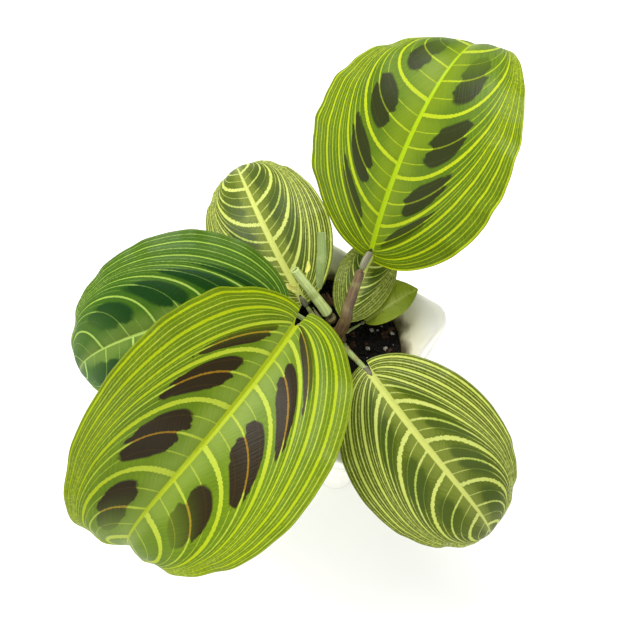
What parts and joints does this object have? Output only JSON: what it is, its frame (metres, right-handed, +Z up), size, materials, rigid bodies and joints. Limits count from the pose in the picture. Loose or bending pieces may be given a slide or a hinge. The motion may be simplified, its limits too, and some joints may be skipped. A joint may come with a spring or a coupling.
{
  "type": "potted prayer plant",
  "caption": "Young prayer plant with veined oval leaves on arching stalks, growing in peat in a square white nursery pot.",
  "frame": {"origin": "centre of the pot's flat underside", "axes": "+Z up, the pot's sides along X and Y, the largest leaf reaching towards -Y"},
  "size_m": [0.2081, 0.2539, 0.1869],
  "materials": {
    "pot_plastic": "white moulded polypropylene, satin",
    "peat_soil": "dark moist peat, crumbly",
    "leaf_lime": "lime green blade with yellow veins and brown blotches, satin",
    "leaf_deep": "deep green blade with thin pale veins, satin",
    "leaf_striped": "green blade with broad pale yellow veins, satin",
    "leaf_young": "plain light green blade, satin",
    "stalk_green": "pale green stalk, satin",
    "stalk_brown": "brown stalk and swollen joint, satin",
    "pale_stem": "pale green cut stem, waxy",
    "dry_sheath": "papery brown sheath, matte",
    "yellow_scrap": "torn pale yellow sheath, matte",
    "perlite": "white porous perlite, matte",
    "bark": "brown bark, rough"
  },
  "bodies": {
    "root": {"pot": "pot_plastic", "potting_soil": "peat_soil", "crown": "stalk_brown", "stem_node": "stalk_brown", "cut_stub": "pale_stem", "leaf_upper_right": "leaf_lime", "petiole_upper_right": "stalk_green", "pulvinus_upper_right": "stalk_brown", "leaf_front": "leaf_lime", "petiole_front": "stalk_green", "pulvinus_front": "stalk_brown", "leaf_left": "leaf_deep", "petiole_left": "stalk_green", "pulvinus_left": "stalk_brown", "leaf_lower_right": "leaf_striped", "petiole_lower_right": "stalk_green", "pulvinus_lower_right": "stalk_brown", "leaf_upper_left": "leaf_striped", "petiole_upper_left": "stalk_green", "pulvinus_upper_left": "stalk_brown", "leaf_middle": "leaf_striped", "petiole_middle": "stalk_green", "pulvinus_middle": "stalk_brown", "leaf_small": "leaf_young", "petiole_small": "stalk_green", "pulvinus_small": "stalk_brown", "sheath_upper_right": "stalk_brown", "sheath_dark": "dry_sheath", "sheath_papery": "dry_sheath", "rolled_new_leaf": "pale_stem", "torn_scrap_left": "yellow_scrap", "torn_scrap_right": "yellow_scrap", "torn_scrap_stub": "yellow_scrap", "perlite_1": "perlite", "perlite_2": "perlite", "perlite_3": "perlite", "perlite_4": "perlite", "perlite_5": "perlite", "perlite_6": "perlite", "perlite_7": "perlite", "perlite_8": "perlite", "perlite_9": "perlite", "perlite_10": "perlite", "bark_chip_1": "bark", "bark_chip_2": "bark", "bark_chip_3": "bark", "bark_chip_4": "bark"}
  },
  "joints": []
}
